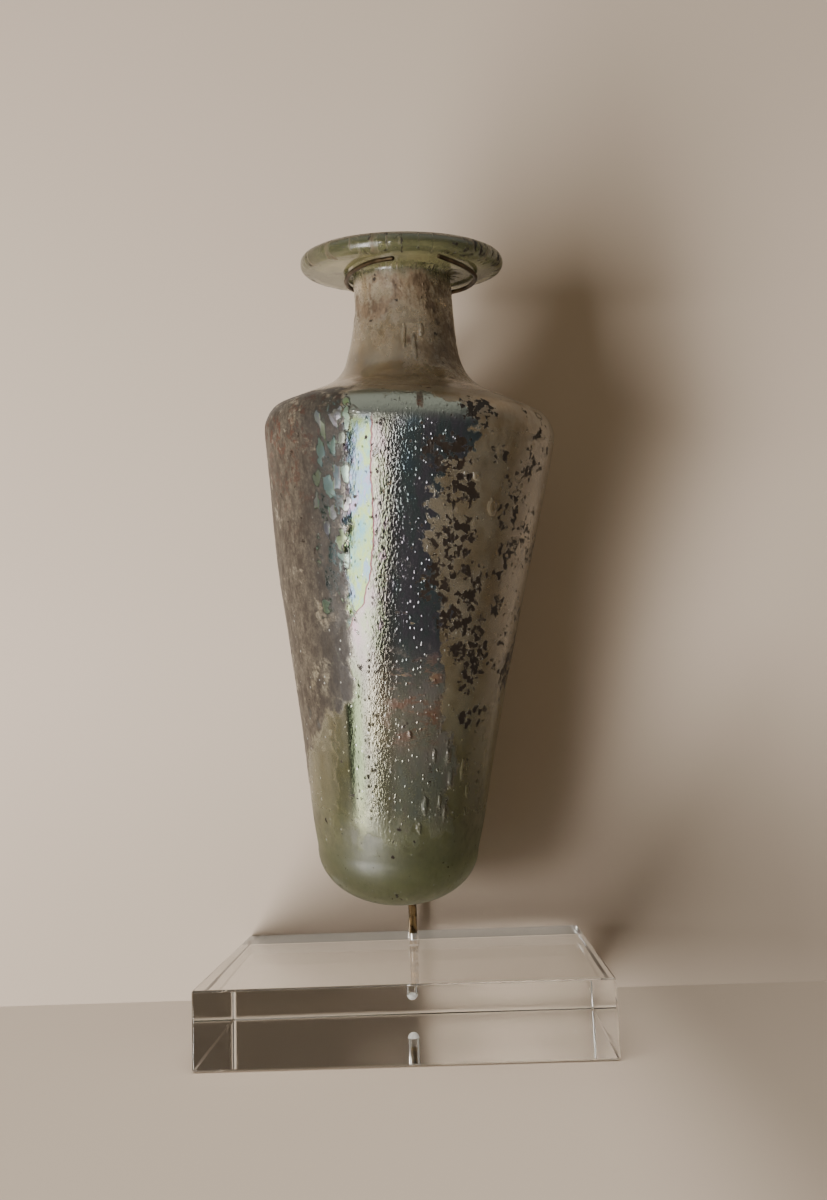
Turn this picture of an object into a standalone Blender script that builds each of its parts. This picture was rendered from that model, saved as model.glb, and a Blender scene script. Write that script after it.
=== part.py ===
"""Blown-glass perfume flask on its museum mount.

The flask hangs by its wide rim in an open wire claw. The claw sits on the end of a brass rod that
stands in an acrylic block, runs up behind the flask and bends forwards over its shoulder.
Frame: +Z up, -Y towards the viewer, origin in the middle of the block's underside. Metres.
"""

import math

import bmesh
import bpy
from mathutils import Euler, Matrix, Vector

MM = 0.001
GAP = 0.3 * MM                      # clearance kept between touching pieces

# Acrylic block and the blind hole drilled in it for the rod
BLOCK_WIDTH = 101.6 * MM
BLOCK_DEPTH = 76.6 * MM
BLOCK_HEIGHT = 18.6 * MM
BLOCK_EDGE = 0.5 * MM               # polished edge
HOLE_BOTTOM = 4.3 * MM              # height of the hole's rounded end above the underside

# Brass rod
ROD_RADIUS = 1.27 * MM
ROD_X = 0.25 * MM
ROD_Y = 34.3 * MM
ROD_FOOT = 8.5 * MM                 # height of the rod's lower end
ROD_CORNER = 184.0 * MM             # height at which it turns forwards over the shoulder
ROD_BEND_RADIUS = 13.0 * MM
ROD_SIDES = 3                       # bevel resolution of the rod's round section

# How the flask hangs: its base point, and how far its axis leans
FLASK_BASE = Vector((-3.1, 12.55, 31.2)) * MM
LEAN_FORWARD = math.radians(9.5)
LEAN_RIGHT = math.radians(3.4)

# Flask, measured along its own axis from the base, as (radius, height) in millimetres
DOME_RADIUS = 23.2                  # the rounded base, where it meets the side
DOME_HEIGHT = 16.5
DOME_POWER = 2.1                    # 2 is an ellipse, less is more pointed
SIDE_LINE = ((23.2, 16.5), (24.9, 26.0), (27.8, 47.0), (31.9, 73.0), (36.1, 97.5), (39.2, 119.0),
             (40.8, 131.0))
SHOULDER_LINE = ((40.8, 131.0), (40.5, 135.3), (38.1, 139.1), (33.0, 141.6), (27.2, 144.1),
                 (21.4, 146.9))
NECK_LINE = ((21.4, 146.9), (17.7, 150.8), (15.9, 155.8), (14.9, 161.2), (14.1, 168.2),
             (14.0, 175.2))
RIM_FILLET = 1.2                    # where the neck turns out into the rim
LIP_CENTRE = (26.0, 180.8)          # centre of the lip's round section
LIP_RADIUS = 2.8
RIM_TOP_LINE = ((24.0, 182.9), (20.0, 182.1), (15.4, 180.8), (12.5, 178.4))
SIDE_WALL = 2.3
NECK_WALL = 2.6
FLOOR_THICKNESS = 6.5
OUTER_STEP = 9.5                    # longest straight step along the outside
INNER_STEP = 16.0                   # and along the inside
FLASK_STEPS = 54                    # faces round the flask

# The flask is free-blown, so its centre line sways and its rim sits askew
BODY_SWAY = 1.2                     # the shoulder stands off to the right, in millimetres
NECK_SWAY = -2.1                    # the neck comes back to the left
RIM_SWAY = -1.0
SHOULDER_DROP = 0.013               # the shoulder's slope down to the right
RIM_TILT = Euler((math.radians(2.8), math.radians(-1.7), 0.0))

# Wire claw, in the rim's own plane: x to the right and y away from the viewer, in millimetres
CLAW_WIRE_RADIUS = 0.62 * MM
CLAW_DROP = 3.85 * MM               # wire's centre below the rim's centre plane
CLAW_RIGHT_ARM = ((10.9, -26.4), (13.6, -21.8), (16.4, -16.6), (19.1, -9.6), (20.6, -3.4),
                  (20.6, 4.0), (18.6, 12.4), (14.0, 18.4), (7.5, 21.6))
CLAW_BACK = (0.5, 22.4)
CLAW_LEFT_ARM = ((-7.0, 21.2), (-12.6, 17.0), (-15.3, 10.0), (-15.9, 2.6), (-14.6, -6.0),
                 (-12.0, -13.4), (-8.8, -19.2), (-5.2, -23.2), (-1.3, -25.2))
CLAW_STEP = 3.6                     # longest straight step along the wire


def clear_scene():
    """Remove every object, so that the script starts from nothing."""
    for obj in list(bpy.data.objects):
        bpy.data.objects.remove(obj, do_unlink=True)


def new_collection(name):
    """Make a collection under the scene's own."""
    collection = bpy.data.collections.new(name)
    bpy.context.scene.collection.children.link(collection)
    return collection


def make_material(name, colour, roughness, metallic=0.0, transmission=0.0):
    """Make a Principled material with plain values."""
    material = bpy.data.materials.new(name)
    material.use_nodes = True
    shader = material.node_tree.nodes["Principled BSDF"]
    shader.inputs["Base Color"].default_value = (*colour, 1.0)
    shader.inputs["Roughness"].default_value = roughness
    shader.inputs["Metallic"].default_value = metallic
    shader.inputs["Transmission Weight"].default_value = transmission
    return material


def move_to(obj, collection):
    """Put an object in one collection only."""
    for other in list(obj.users_collection):
        other.objects.unlink(obj)
    collection.objects.link(obj)


def smooth_line(points, longest):
    """Points along a smooth curve (Catmull-Rom) through the given ones, no step over `longest`."""
    first = tuple(2 * a - b for a, b in zip(points[0], points[1]))
    last = tuple(2 * a - b for a, b in zip(points[-1], points[-2]))
    knots = [Vector(p) for p in (first, *points, last)]
    line = []
    for p0, p1, p2, p3 in zip(knots, knots[1:], knots[2:], knots[3:]):
        steps = max(1, math.ceil((p2 - p1).length / longest))
        for i in range(steps):
            t = i / steps
            line.append(0.5 * (2 * p1 + (p2 - p0) * t + (2 * p0 - 5 * p1 + 4 * p2 - p3) * t * t
                               + (3 * p1 - p0 - 3 * p2 + p3) * t * t * t))
    line.append(knots[-2])
    return line


def arc(centre, radius, start, end, steps):
    """Points along a circular arc, angles in degrees."""
    angles = [math.radians(start + (end - start) * i / steps) for i in range(steps + 1)]
    return [Vector((centre[0] + radius * math.cos(a), centre[1] + radius * math.sin(a)))
            for a in angles]


def dome(radius, bottom, height, steps):
    """A rounded base from its lowest point on the axis up to where its side begins."""
    line = []
    for i in range(steps):
        rise = 1 - math.cos(math.pi / 2 * i / steps)
        across = (1 - (1 - rise) ** DOME_POWER) ** (1 / DOME_POWER)
        line.append(Vector((radius * across, bottom + height * rise)))
    return line


def ease(value, start, end):
    """0 before start, 1 after end, and a smooth rise between them."""
    t = min(1.0, max(0.0, (value - start) / (end - start)))
    return t * t * (3 - 2 * t)


def wall_thickness(height):
    """Thickness of the glass at a height on the flask."""
    return SIDE_WALL + (NECK_WALL - SIDE_WALL) * ease(height, 140.0, 155.0)


def wall_line(line):
    """The wall's inner line: each point of a rising line moved square to it, towards the axis."""
    inner = []
    for i, point in enumerate(line):
        along = line[min(i + 1, len(line) - 1)] - line[max(i - 1, 0)]
        inwards = Vector((-along.y, along.x)).normalized()
        inner.append(point + inwards * wall_thickness(point.y))
    return inner


def flask_profile():
    """From the cavity's lowest point up the inside, over the lip and down the outside."""
    side = SIDE_LINE[:-1] + SHOULDER_LINE[:-1] + NECK_LINE
    rising = smooth_line(side, OUTER_STEP)
    inner_side = wall_line(smooth_line(side, INNER_STEP))[1:]
    inner_base = dome(inner_side[0].x, FLOOR_THICKNESS, inner_side[0].y - FLOOR_THICKNESS, 5)
    neck_top = rising[-1]
    underside = LIP_CENTRE[1] - LIP_RADIUS
    fillet = arc((neck_top.x + RIM_FILLET, underside - RIM_FILLET), RIM_FILLET, 180, 90, 3)
    mouth = list(reversed(smooth_line(RIM_TOP_LINE, OUTER_STEP)))
    lip = arc(LIP_CENTRE, LIP_RADIUS, 115, -90, 10)
    outer_base = dome(DOME_RADIUS, 0.0, DOME_HEIGHT, 9)
    outside = outer_base + rising + fillet
    return inner_base + inner_side + mouth + lip + list(reversed(outside))


def hand_blown(point):
    """Move a point of the true turned shape to where it is on the free-blown flask."""
    height = point.z / MM
    tilted = ease(height, 166.0, 178.0)
    sway = BODY_SWAY * ease(height, 85.0, 130.0) + NECK_SWAY * ease(height, 137.0, 157.0)
    sway += RIM_SWAY * tilted
    centre = Vector((0.0, 0.0, LIP_CENTRE[1] * MM))
    turn = Euler((RIM_TILT.x * tilted, RIM_TILT.y * tilted, 0.0)).to_matrix()
    drop = SHOULDER_DROP * point.x * (ease(height, 105.0, 135.0) - ease(height, 146.0, 160.0))
    return centre + turn @ (point - centre) + Vector((sway * MM, 0.0, -drop))


def turned(name, profile, steps, collection):
    """Turn a profile of (radius, height) in millimetres about Z with a Screw modifier."""
    mesh = bpy.data.meshes.new(name)
    verts = [(p[0] * MM, 0.0, p[1] * MM) for p in profile]
    mesh.from_pydata(verts, [(i, i + 1) for i in range(len(verts) - 1)], [])
    obj = bpy.data.objects.new(name, mesh)
    collection.objects.link(obj)
    screw = obj.modifiers.new("turn", "SCREW")
    screw.axis = "Z"
    screw.angle = math.tau
    screw.steps = steps
    screw.render_steps = steps
    screw.use_merge_vertices = True
    screw.merge_threshold = 0.00001
    screw.use_smooth_shade = True
    return obj


def made_mesh(obj, name, collection, material):
    """Turn an object with modifiers, or a curve, into a plain closed mesh object in its place."""
    bpy.context.view_layer.update()
    evaluated = obj.evaluated_get(bpy.context.evaluated_depsgraph_get())
    mesh = bpy.data.meshes.new_from_object(evaluated)
    bm = bmesh.new()
    bm.from_mesh(mesh)
    bmesh.ops.remove_doubles(bm, verts=bm.verts, dist=0.00001)
    bm.to_mesh(mesh)
    bm.free()
    mesh.materials.clear()
    mesh.materials.append(material)
    matrix = obj.matrix_world.copy()
    bpy.data.objects.remove(obj, do_unlink=True)
    solid = bpy.data.objects.new(name, mesh)
    solid.matrix_world = matrix
    collection.objects.link(solid)
    return solid


def make_flask(collection, material):
    """The hollow vessel, turned, swayed off its axis and hung at its lean."""
    turned_flask = turned("flask_turned", flask_profile(), FLASK_STEPS, collection)
    flask = made_mesh(turned_flask, "flask", collection, material)
    for vert in flask.data.vertices:
        vert.co = hand_blown(vert.co)
    flask.data.shade_smooth()
    flask.location = FLASK_BASE
    flask.rotation_euler = (LEAN_FORWARD, LEAN_RIGHT, 0.0)
    return flask


def rim_plane():
    """Matrix of the rim's centre plane: x to the right, y away, z out of the mouth."""
    lean = Euler((LEAN_FORWARD, LEAN_RIGHT, 0.0)).to_matrix()
    centre = Vector(((BODY_SWAY + NECK_SWAY + RIM_SWAY) * MM, 0.0, LIP_CENTRE[1] * MM))
    turn = lean @ RIM_TILT.to_matrix()
    return Matrix.Translation(FLASK_BASE + lean @ centre) @ turn.to_4x4()


def wire(name, points, radius, sides, collection, radii=None):
    """A round wire or rod: a poly curve with a bevel and filled caps."""
    curve = bpy.data.curves.new(name, "CURVE")
    curve.dimensions = "3D"
    curve.bevel_depth = radius
    curve.bevel_resolution = sides
    curve.use_fill_caps = True
    spline = curve.splines.new("POLY")
    spline.points.add(len(points) - 1)
    for i, point in enumerate(points):
        spline.points[i].co = (*point, 1.0)
        spline.points[i].radius = radii[i] if radii else 1.0
    spline.use_smooth = True
    obj = bpy.data.objects.new(name, curve)
    collection.objects.link(obj)
    return obj


def round_the_ends(points, radius, steps=3):
    """Add points past both ends, with shrinking radii, so that the wire's tips are rounded."""
    head = (points[0] - points[1]).normalized()
    tail = (points[-1] - points[-2]).normalized()
    angles = [math.radians(75.0) * (i + 1) / steps for i in range(steps)]
    start = [points[0] + head * radius * math.sin(a) for a in reversed(angles)]
    end = [points[-1] + tail * radius * math.sin(a) for a in angles]
    radii = [math.cos(a) for a in reversed(angles)] + [1.0] * len(points)
    radii += [math.cos(a) for a in angles]
    return start + list(points) + end, radii


def make_claw(collection, material):
    """The open wire ring that lies under the rim, with its two tips towards the viewer."""
    flat = smooth_line(CLAW_RIGHT_ARM + (CLAW_BACK,) + CLAW_LEFT_ARM, CLAW_STEP)
    plane = rim_plane()
    route = [plane @ Vector((p.x * MM, p.y * MM, -CLAW_DROP)) for p in flat]
    points, radii = round_the_ends(route, CLAW_WIRE_RADIUS)
    claw = wire("claw_wire", points, CLAW_WIRE_RADIUS, 2, collection, radii)
    solid = made_mesh(claw, "neck_claw", collection, material)
    solid.data.shade_smooth()
    return solid


def rounded_corner(start, corner, end, radius, steps):
    """Points of an arc that rounds the corner between two straight runs."""
    back = (start - corner).normalized()
    forth = (end - corner).normalized()
    half = back.angle(forth) / 2
    centre = corner + (back + forth).normalized() * radius / math.sin(half)
    reach = radius / math.tan(half)
    first = corner + back * reach - centre
    last = corner + forth * reach - centre
    turn = first.angle(last)
    axis = first.cross(last).normalized()
    return [centre + Matrix.Rotation(turn * i / steps, 3, axis) @ first for i in range(steps + 1)]


def make_rod(collection, material):
    """The rod from its foot in the block, up behind the flask and forwards to the claw's back."""
    claw_back = rim_plane() @ Vector((CLAW_BACK[0] * MM, CLAW_BACK[1] * MM, -CLAW_DROP))
    foot = Vector((ROD_X, ROD_Y, ROD_FOOT))
    corner = Vector((ROD_X, ROD_Y, ROD_CORNER))
    reach = (claw_back - corner).normalized()
    tip = claw_back - reach * (CLAW_WIRE_RADIUS + 1.3 * GAP)
    bend = rounded_corner(foot, corner, tip, ROD_BEND_RADIUS, 8)
    rod = wire("rod_line", [foot, *bend, tip], ROD_RADIUS, ROD_SIDES, collection)
    solid = made_mesh(rod, "support_rod", collection, material)
    solid.data.shade_smooth()
    solid.data.set_sharp_from_angle(angle=math.radians(50))
    return solid


def make_block(collection, cutters, material):
    """The clear foot, with polished edges and the rod's blind hole."""
    bpy.ops.mesh.primitive_cube_add(size=1.0, location=(0.0, 0.0, BLOCK_HEIGHT / 2))
    block = bpy.context.object
    block.name = "acrylic_block"
    block.scale = (BLOCK_WIDTH, BLOCK_DEPTH, BLOCK_HEIGHT)
    bpy.ops.object.transform_apply(location=False, rotation=False, scale=True)
    block.data.materials.append(material)
    move_to(block, collection)
    bevel = block.modifiers.new("edges", "BEVEL")
    bevel.width = BLOCK_EDGE
    bevel.segments = 2
    hole_radius = (ROD_RADIUS + GAP) / MM
    hole_end = arc((0.0, HOLE_BOTTOM / MM + hole_radius), hole_radius, -90, 0, 4)
    above = (BLOCK_HEIGHT + 4 * MM) / MM
    outline = [Vector((0.0, above)), Vector((hole_radius, above)), *reversed(hole_end)]
    drill = turned("hole_drill", outline, 24, cutters)
    drill.location = (ROD_X, ROD_Y, 0.0)
    drill.hide_render = True
    drill.display_type = "WIRE"
    cut = block.modifiers.new("hole", "BOOLEAN")
    cut.operation = "DIFFERENCE"
    cut.solver = "EXACT"
    cut.object = drill
    return block


def main():
    """Build the four pieces."""
    clear_scene()
    pieces = new_collection("perfume_flask")
    cutters = new_collection("cutters")
    make_block(pieces, cutters, make_material("clear_acrylic", (0.95, 0.95, 0.93), 0.03,
                                              transmission=1.0))
    make_rod(pieces, make_material("rod_brass", (0.45, 0.32, 0.16), 0.35, metallic=1.0))
    make_claw(pieces, make_material("claw_brass", (0.22, 0.15, 0.09), 0.40, metallic=1.0))
    make_flask(pieces, make_material("weathered_glass", (0.42, 0.44, 0.36), 0.22,
                                     transmission=0.6))


main()
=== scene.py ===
# %% [markdown]
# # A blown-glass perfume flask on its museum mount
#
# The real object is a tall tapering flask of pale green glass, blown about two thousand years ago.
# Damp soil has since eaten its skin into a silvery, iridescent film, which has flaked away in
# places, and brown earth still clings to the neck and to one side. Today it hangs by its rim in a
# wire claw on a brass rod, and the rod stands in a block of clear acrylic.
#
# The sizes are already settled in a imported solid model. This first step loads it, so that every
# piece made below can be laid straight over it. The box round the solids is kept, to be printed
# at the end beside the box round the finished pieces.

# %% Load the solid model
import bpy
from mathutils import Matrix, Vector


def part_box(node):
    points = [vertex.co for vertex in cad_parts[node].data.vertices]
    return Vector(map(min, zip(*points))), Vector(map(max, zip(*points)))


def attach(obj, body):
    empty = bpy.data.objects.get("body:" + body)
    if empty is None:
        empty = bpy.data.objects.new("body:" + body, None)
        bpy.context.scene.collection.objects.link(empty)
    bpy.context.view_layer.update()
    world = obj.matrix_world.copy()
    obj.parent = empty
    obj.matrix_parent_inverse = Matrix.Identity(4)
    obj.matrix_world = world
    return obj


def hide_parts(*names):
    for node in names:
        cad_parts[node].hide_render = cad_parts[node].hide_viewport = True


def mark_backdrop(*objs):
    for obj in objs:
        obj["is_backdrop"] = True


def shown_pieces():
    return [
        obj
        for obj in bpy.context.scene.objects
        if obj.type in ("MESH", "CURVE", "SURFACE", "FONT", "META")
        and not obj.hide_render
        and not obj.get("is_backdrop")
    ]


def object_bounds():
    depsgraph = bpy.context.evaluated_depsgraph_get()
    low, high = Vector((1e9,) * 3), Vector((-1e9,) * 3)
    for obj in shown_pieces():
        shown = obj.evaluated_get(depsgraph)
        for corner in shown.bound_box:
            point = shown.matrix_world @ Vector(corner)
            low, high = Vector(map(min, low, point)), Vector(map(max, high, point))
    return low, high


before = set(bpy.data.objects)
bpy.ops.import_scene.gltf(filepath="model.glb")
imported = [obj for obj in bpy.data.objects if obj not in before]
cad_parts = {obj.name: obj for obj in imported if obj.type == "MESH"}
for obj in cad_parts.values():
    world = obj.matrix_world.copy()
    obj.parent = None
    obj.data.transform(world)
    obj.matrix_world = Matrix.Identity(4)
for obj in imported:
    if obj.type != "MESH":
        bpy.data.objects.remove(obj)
solid_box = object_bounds()
print("solids:", ", ".join(sorted(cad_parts)))

# %% Blender's modules and the unit of length
import math
from types import SimpleNamespace

import bmesh
import bpy
from mathutils import Euler, Matrix, Vector, noise

MM = 0.001                      # Blender works in metres, and this object is drawn in millimetres

# %% [markdown]
# ## The camera
#
# A camera looks down its own -Z axis, with +Y as the top of the picture, so a matrix whose
# columns are right, up and backwards puts it exactly where it should stand. Turning it with three
# angles would do as well, but two directions are easier to think about: where it looks, and
# which way is up. It stands 30 cm in front of the flask, a little below its middle, and looks
# slightly upwards, as a hand-held camera does when it is brought close to a small thing.

# %% Stand the camera
def look_along(place, forward, up):
    """A matrix for a camera or a lamp at a place, facing along one direction."""
    forward = Vector(forward).normalized()
    right = forward.cross(Vector(up)).normalized()
    turn = Matrix((right, right.cross(forward), -forward)).transposed()
    return Matrix.Translation(Vector(place)) @ turn.to_4x4()


CAMERA_PLACE = (0.01301, -0.30347, 0.07419)
CAMERA_FORWARD = (-0.0261, 0.9901, 0.1376)
CAMERA_UP = (0.0410, -0.1365, 0.9898)
camera_data = bpy.data.cameras.new("camera")
camera_data.lens = 32.1
camera_data.sensor_width = 36.0
camera_data.clip_start = 10 * MM
camera = bpy.data.objects.new("camera", camera_data)
camera.matrix_world = look_along(CAMERA_PLACE, CAMERA_FORWARD, CAMERA_UP)
bpy.context.scene.collection.objects.link(camera)
bpy.context.scene.camera = camera
print("camera to flask:", round(-CAMERA_PLACE[1] * 1000), "mm")

# %% [markdown]
# ## Short helpers for shader nodes
#
# Finishes are drawn with nodes: small machines that each take values and hand on a result. They
# could be placed by hand in the Shader Editor, but a long finish is easier to read as a few lines
# of sums. So these helpers add one node each and return its output, and a finish becomes a
# list of named steps. Wherever a helper takes a value, it also takes another node's output.

# %% Node helpers
def node(tree, kind, inputs=None, **settings):
    """Add a shader node, set it up, and fill its inputs with values or other nodes' outputs."""
    made = tree.nodes.new("ShaderNode" + kind)
    for name, value in settings.items():
        setattr(made, name, value)
    for socket, value in (inputs or {}).items():
        if isinstance(value, bpy.types.NodeSocket):
            tree.links.new(value, made.inputs[socket])
        else:
            made.inputs[socket].default_value = value
    return made


def sum_of(tree, how, a, b=0.0, c=0.0):
    """One sum on numbers, such as ADD or MULTIPLY."""
    return node(tree, "Math", {0: a, 1: b, 2: c}, operation=how).outputs[0]


def times(tree, value, *others):
    """Values multiplied together."""
    for other in others:
        value = sum_of(tree, "MULTIPLY", value, other)
    return value


def fade(tree, value, start, end, low=0.0, high=1.0):
    """A smooth rise from low to high while the value goes from start to end."""
    made = node(tree, "MapRange", {"Value": value, "From Min": start, "From Max": end,
                                   "To Min": low, "To Max": high}, interpolation_type="SMOOTHSTEP")
    return made.outputs["Result"]


def blend(tree, amount, a, b):
    """Mix two colours: all of a at 0, all of b at 1."""
    made = tree.nodes.new("ShaderNodeMix")
    made.data_type = "RGBA"
    for index, value in ((0, amount), (6, a), (7, b)):
        if isinstance(value, bpy.types.NodeSocket):
            tree.links.new(value, made.inputs[index])
        else:
            made.inputs[index].default_value = (*value, 1.0) if index else value
    return made.outputs[2]


def grain(tree, place, size, detail=3.0, rough=0.55):
    """Cloudy noise between 0 and 1, with blotches of about the given size in metres."""
    return node(tree, "TexNoise", {"Vector": place, "Scale": 1.0 / size, "Detail": detail,
                                   "Roughness": rough}).outputs["Fac"]


def stretched(tree, place, scale, turn=(0.0, 0.0, 0.0), origin=(0.0, 0.0, 0.0)):
    """Coordinates measured from an origin, turned and stretched."""
    moved = node(tree, "Mapping", {"Vector": place, "Location": origin, "Rotation": turn},
                 vector_type="TEXTURE").outputs[0]
    return node(tree, "Mapping", {"Vector": moved, "Scale": scale}).outputs[0]


def ramp(tree, value, stops):
    """A strip of colours: (position, colour) pairs from 0 to 1."""
    made = node(tree, "ValToRGB", {"Fac": value})
    strip = made.color_ramp.elements
    while len(strip) < len(stops):
        strip.new(0.5)
    for stop, (position, colour) in zip(strip, stops):
        stop.position = position
        stop.color = (*colour, 1.0)
    return made.outputs["Color"]


def new_finish(name):
    """A material with a Principled shader, ready to be filled in."""
    finish = bpy.data.materials.new(name)
    finish.use_nodes = True
    return finish, finish.node_tree, finish.node_tree.nodes["Principled BSDF"]

# %% [markdown]
# ## The floor and the backdrop
#
# A small object is shown best on plain pale ground. The floor is a wide flat sheet, and the
# backdrop is another that stands upright and all but touches the back of the acrylic block, so
# that the flask's shadow falls on it softly and close by. Each is a short line of points pushed
# sideways with `extrude`, because nothing more than a straight sheet is needed.
#
# The lamp that matters most stands in front of the flask and below it, as when a flask is laid
# down beside a low window. So the floor lets its light through: it casts no shadow, and it is
# left out of reflections and of what the glass shows. The backdrop shows only its front, so that
# the flask can also be looked at from behind. The paper's colour holds painted shade: it is
# darker near the ground and to the right of the block, where less light would reach it.

# %% A matt ground, with painted shade low down and on the right
PAPER, PAPER_GRAIN = (0.67, 0.565, 0.470), (0.70, 0.59, 0.495)
LOW_PAINTED_SHADE, RIGHT_PAINTED_SHADE = (0.35, 0.28, 0.22), (0.19, 0.155, 0.12)


def ground_finish(name, see_through_back, painted_low_shade=0.0):
    """Matt pale paper, with painted shade low down and on the right, that can vanish from behind."""
    finish, tree, shader = new_finish(name)
    place = node(tree, "TexCoord").outputs["Object"]
    tone = blend(tree, grain(tree, place, 0.10, 2.0), PAPER, PAPER_GRAIN)
    sides = node(tree, "SeparateXYZ", {0: place}).outputs
    # Painted shade, low down: the paper's colour darkens towards the ground
    tone = blend(tree, fade(tree, sides["Z"], 0.12, 0.001, 0.0, painted_low_shade), tone, LOW_PAINTED_SHADE)
    # Painted shade on the right: the colour darkens to the right of the block, near the ground
    right = times(tree, fade(tree, sides["X"], 0.038, 0.085, 0.0, 0.62),
                  fade(tree, sides["Z"], 0.115, 0.005))
    tone = blend(tree, right, tone, RIGHT_PAINTED_SHADE)
    tree.links.new(tone, shader.inputs["Base Color"])
    shader.inputs["Roughness"].default_value = 0.9
    shader.inputs["Specular IOR Level"].default_value = 0.1
    if see_through_back:
        clear = node(tree, "BsdfTransparent").outputs[0]
        behind = node(tree, "NewGeometry").outputs["Backfacing"]
        mixed = node(tree, "MixShader", {0: behind, 1: shader.outputs[0], 2: clear}).outputs[0]
        tree.links.new(mixed, tree.nodes["Material Output"].inputs["Surface"])
    return finish


def finished_mesh(name, bm, *finishes):
    """Turn a bmesh into an object at the origin, with its finishes and smooth shading."""
    mesh = bpy.data.meshes.new(name)
    bm.to_mesh(mesh)
    bm.free()
    for finish in finishes:
        mesh.materials.append(finish)
    mesh.shade_smooth()
    made = bpy.data.objects.new(name, mesh)
    bpy.context.scene.collection.objects.link(made)
    return made

# %% Lay the floor and hang the backdrop
def drawn_line(points):
    """A line of edges from each point to the next."""
    bm = bmesh.new()
    verts = [bm.verts.new(point) for point in points]
    for pair in zip(verts, verts[1:]):
        bm.edges.new(pair)
    return bm


def extruded_strip(name, line, half_width, finish):
    """A line of (y, z) points pushed sideways into a long strip."""
    bm = drawn_line((-half_width, y, z) for y, z in line)
    pushed = bmesh.ops.extrude_edge_only(bm, edges=bm.edges[:])
    moved = [part for part in pushed["geom"] if isinstance(part, bmesh.types.BMVert)]
    bmesh.ops.translate(bm, verts=moved, vec=(2 * half_width, 0, 0))
    return finished_mesh(name, bm, finish)


BEHIND_BLOCK = 38.7 * MM        # the backdrop all but touches the block's back face
UNDER_BLOCK = -0.3 * MM         # the floor lies just under the block
REACH = 3.0                     # metres of ground to each side
floor = extruded_strip("floor", [(-REACH, UNDER_BLOCK), (REACH, UNDER_BLOCK)], REACH,
                       ground_finish("pale_floor", False))
backdrop = extruded_strip("backdrop", [(BEHIND_BLOCK, -0.8), (BEHIND_BLOCK, 1.6)], REACH,
                          ground_finish("pale_backdrop", True, 0.45))
for ground in (floor, backdrop):
    ground.visible_shadow = False
    ground.visible_diffuse = False
floor.visible_glossy = False
floor.visible_transmission = False
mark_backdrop(floor, backdrop)
for ground in (floor, backdrop):
    print(ground.name, "faces", "up" if ground.data.polygons[0].normal.z > 0.5 else "forwards",
          tuple(round(c, 2) for c in ground.data.polygons[-1].normal))

# %% [markdown]
# ## The light
#
# The window stands to the left, in front and low. It could be one lamp, but three share its work,
# as in a studio: one lights the ground and throws the shadow up to the right, one of the same
# size lights the object, and a leaning strip is seen only in reflections, where it draws the long
# bright band down the silvery front. Light linking says which lamp lights what. A sky lamp evens
# out the floor, a very small one behind the block is the window light that has come through it,
# and a weak one behind is there for whoever walks round.
#
# The sky of the scene itself is pale where it is looked at, also through glass, dim where it only
# adds light, and dark in mirrors towards the viewer's side, because the room there is unlit. That
# darkness is what makes the film look like dark metal beside its bright band.

# %% Helpers for the lamps
def soft_lamp(name, target, left, down, distance, size, power, colour, up=(0.0, 0.01, 1.0)):
    """A rectangular lamp that faces a target from so many degrees to its left and below it."""
    left, down = math.radians(left), math.radians(down)
    away = Vector((-math.sin(left) * math.cos(down), -math.cos(left) * math.cos(down),
                   -math.sin(down)))
    data = bpy.data.lights.new(name, "AREA")
    data.shape = "RECTANGLE"
    data.size, data.size_y = size
    data.energy = power
    data.color = colour
    lamp = bpy.data.objects.new(name, data)
    lamp.matrix_world = look_along(Vector(target) + away * distance, -away, up)
    lamp.visible_camera = False
    bpy.context.scene.collection.objects.link(lamp)
    return lamp


def lights_only(lamp, *things):
    """Light linking: this lamp lights these things and nothing else."""
    lit = bpy.data.collections.new("lit_by_" + lamp.name)
    for thing in things:
        lit.objects.link(thing)
    lamp.light_linking.receiver_collection = lit
    return lit

# %% The window, shared by three lamps
FLASK_MIDDLE = (0.0, -0.01, 0.115)
DAYLIGHT = (1.0, 0.97, 0.93)
window = {"target": FLASK_MIDDLE, "left": 46.0, "down": 27.0, "distance": 0.85, "size": (0.28, 0.80)}
ground_lamp = soft_lamp("ground_lamp", **window, power=15.8, colour=DAYLIGHT)
lights_only(ground_lamp, floor, backdrop)
window_lamp = soft_lamp("window_lamp", **window, power=14.6, colour=DAYLIGHT)
window_lamp.visible_glossy = False
card_lamp = soft_lamp("card_lamp", FLASK_MIDDLE, left=36.8, down=20.5, distance=0.85,
                      size=(0.29, 0.68), power=10.6, colour=(1.0, 0.97, 0.95),
                      up=(0.75, 0.01, 1.0))
card_lamp.visible_diffuse = False
card_lamp.visible_transmission = False
on_object = [lights_only(lamp) for lamp in (window_lamp, card_lamp)]
print("window at", [round(c, 2) for c in window_lamp.location], "and its reflection at",
      [round(c, 2) for c in card_lamp.location])

# %% The sky lamp, the glow through the block and the lamp behind
sky_lamp = soft_lamp("sky_lamp", (0.0, -0.1, 0.0), left=20.0, down=-70.0, distance=1.2,
                     size=(1.2, 1.2), power=16.0, colour=(1.0, 0.96, 0.90))
lights_only(sky_lamp, floor)

# Window light that enters the block's front leaves by its back, but only on the right
glow_lamp = soft_lamp("glow_lamp", (0.028, 0.038, 0.009), left=0.0, down=0.0, distance=0.020,
                      size=(0.044, 0.014), power=0.0046, colour=DAYLIGHT)
glow_lamp.data.spread = math.radians(40)
glow_lamp.visible_transmission = False
glow_lamp.visible_glossy = False
glow_lamp.light_linking.blocker_collection = lights_only(glow_lamp, backdrop)

# A weak lamp behind, for whoever walks round: it lights the object alone, not the ground
back_lamp = soft_lamp("back_lamp", (0.0, 0.0, 0.115), left=158.0, down=-20.0, distance=0.9,
                      size=(0.8, 0.8), power=7.0, colour=DAYLIGHT)
on_object.append(lights_only(back_lamp))

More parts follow.
